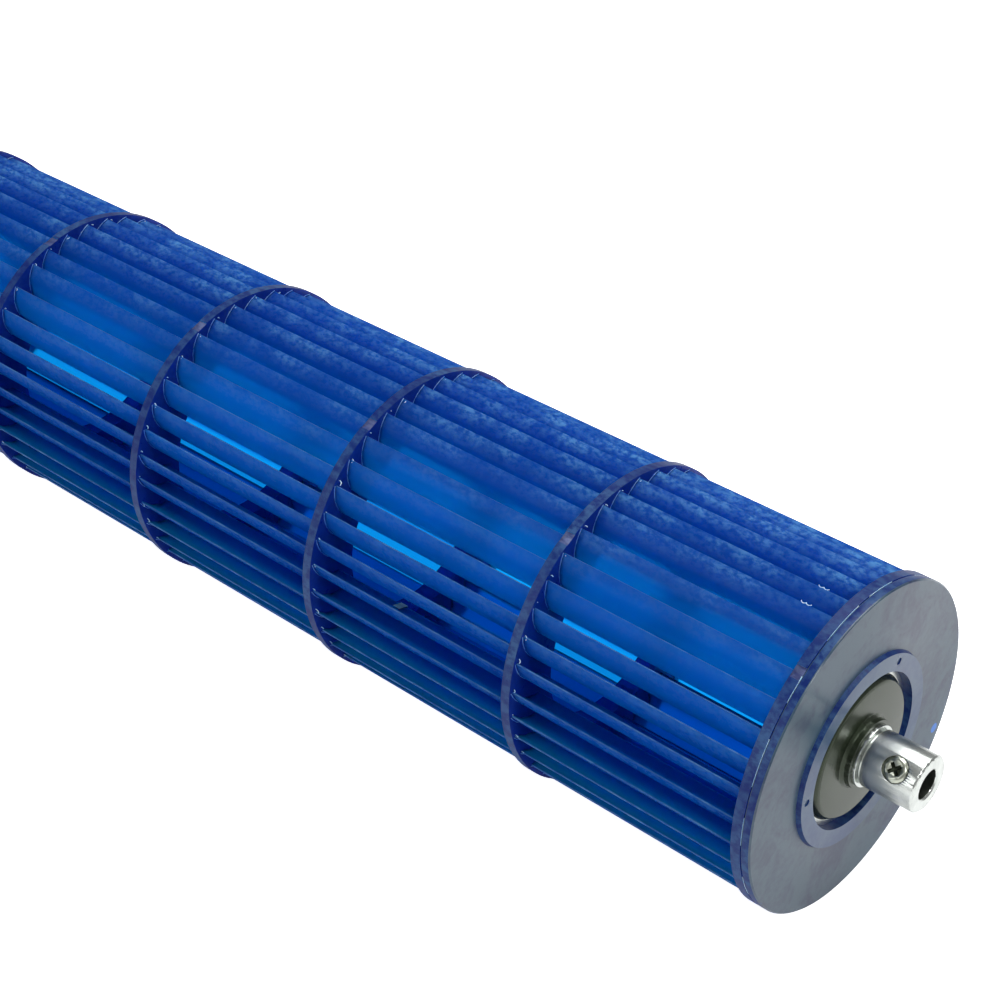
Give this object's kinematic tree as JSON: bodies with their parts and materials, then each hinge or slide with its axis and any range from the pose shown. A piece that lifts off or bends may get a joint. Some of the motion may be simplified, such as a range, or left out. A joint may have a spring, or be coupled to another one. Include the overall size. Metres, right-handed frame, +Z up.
{
  "type": "cross flow fan",
  "caption": "Long blue plastic cross flow fan drum with welded rings of curved blades, a rubber-damped aluminium motor hub with a clamp screw, and a steel bearing stub.",
  "frame": {"origin": "on the drum's axis at the mouth of the motor hub's bore", "axes": "+X along the axis out of the motor hub's bore, +Z up"},
  "size_m": [0.5612, 0.092, 0.092],
  "materials": {
    "motor_end_disc": "frosted translucent moulding",
    "damper_outer_ring": "turned",
    "damper_rubber": "smooth moulded",
    "motor_hub": "turned and polished",
    "clamp_screw": "zinc plated",
    "far_end_disc": "frosted translucent moulding",
    "shaft_stub": "ground",
    "balance_clip": "zinc plated spring steel",
    "blade_section_1": "translucent moulding",
    "blade_section_2": "translucent moulding",
    "blade_section_3": "translucent moulding",
    "blade_section_4": "translucent moulding",
    "blade_section_5": "translucent moulding",
    "blade_section_6": "translucent moulding",
    "blade_section_7": "translucent moulding"
  },
  "bodies": {
    "root": {"motor_end_disc": "motor_end_disc", "damper_outer_ring": "damper_outer_ring", "damper_rubber": "damper_rubber", "motor_hub": "motor_hub", "clamp_screw": "clamp_screw", "far_end_disc": "far_end_disc", "shaft_stub": "shaft_stub", "balance_clip": "balance_clip", "blade_section_1": "blade_section_1", "blade_section_2": "blade_section_2", "blade_section_3": "blade_section_3", "blade_section_4": "blade_section_4", "blade_section_5": "blade_section_5", "blade_section_6": "blade_section_6", "blade_section_7": "blade_section_7"}
  },
  "joints": []
}
